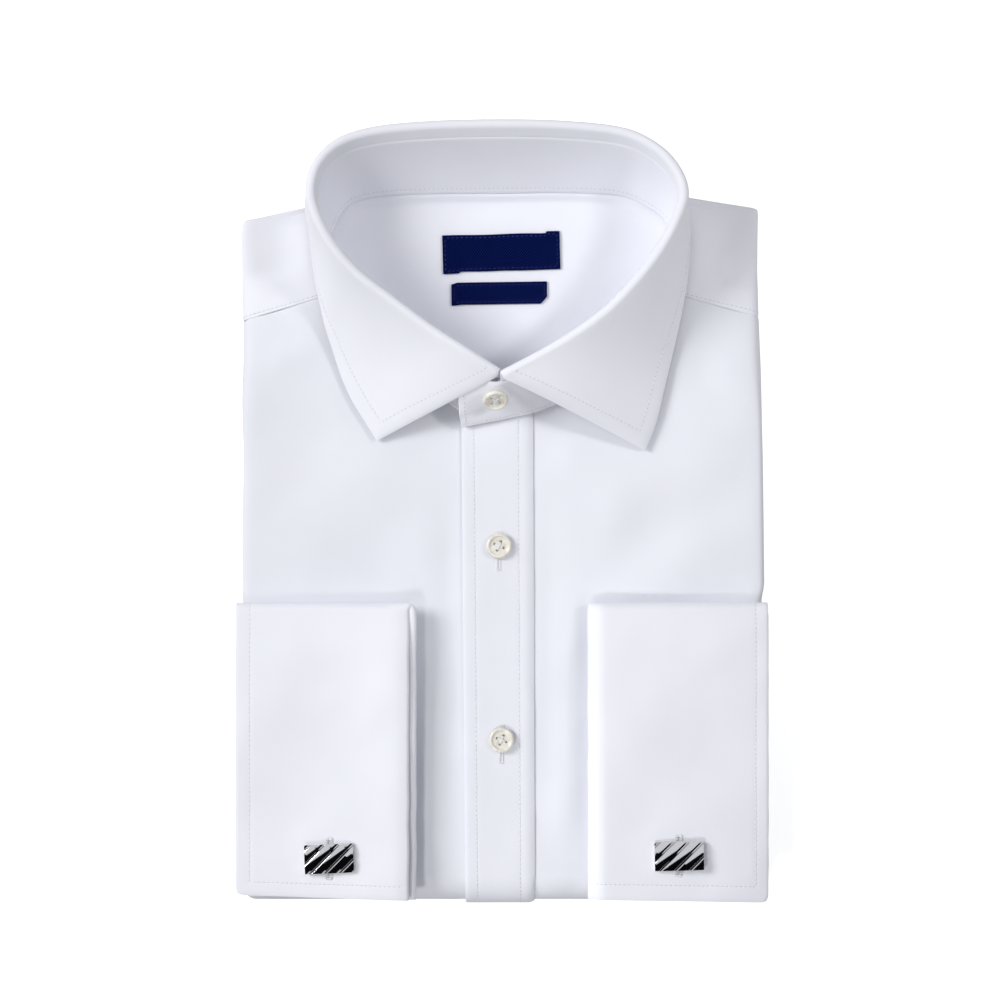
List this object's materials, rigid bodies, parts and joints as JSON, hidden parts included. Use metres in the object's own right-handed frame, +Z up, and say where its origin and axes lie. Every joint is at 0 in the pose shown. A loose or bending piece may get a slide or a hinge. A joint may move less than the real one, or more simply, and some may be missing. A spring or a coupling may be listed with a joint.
{
  "type": "long sleeve dress shirt",
  "caption": "Folded long sleeve dress shirt on its back, with a spread collar, a buttoned front band and turned-back cuffs held by cufflinks.",
  "frame": {"origin": "centre of the footprint's bounding box, on the surface that the packet rests on", "axes": "+Z up off the surface, out of the front of the shirt; +Y from the bottom fold to the collar; +X toward the wearer's left"},
  "size_m": [0.23, 0.3371, 0.0538],
  "materials": {
    "cotton_white": "white cotton poplin, plain weave, matt",
    "button_pearl": "pearl polyester, polished",
    "label_navy": "navy woven satin ribbon",
    "cufflink_metal": "polished chrome with slanting grooves"
  },
  "bodies": {
    "root": {"front_right": "cotton_white", "front_left": "cotton_white", "placket": "cotton_white", "yoke_outer": "cotton_white", "yoke_inner": "cotton_white", "back": "cotton_white", "inner_layers": "cotton_white", "collar_stand": "cotton_white", "collar_leaf": "cotton_white", "sleeve_right": "cotton_white", "sleeve_left": "cotton_white", "cuff_right": "cotton_white", "cuff_left": "cotton_white", "button_collar": "button_pearl", "button_front_1": "button_pearl", "button_front_2": "button_pearl", "label_main": "label_navy", "label_small": "label_navy", "cufflink_right": "cufflink_metal", "cufflink_left": "cufflink_metal"}
  },
  "joints": []
}
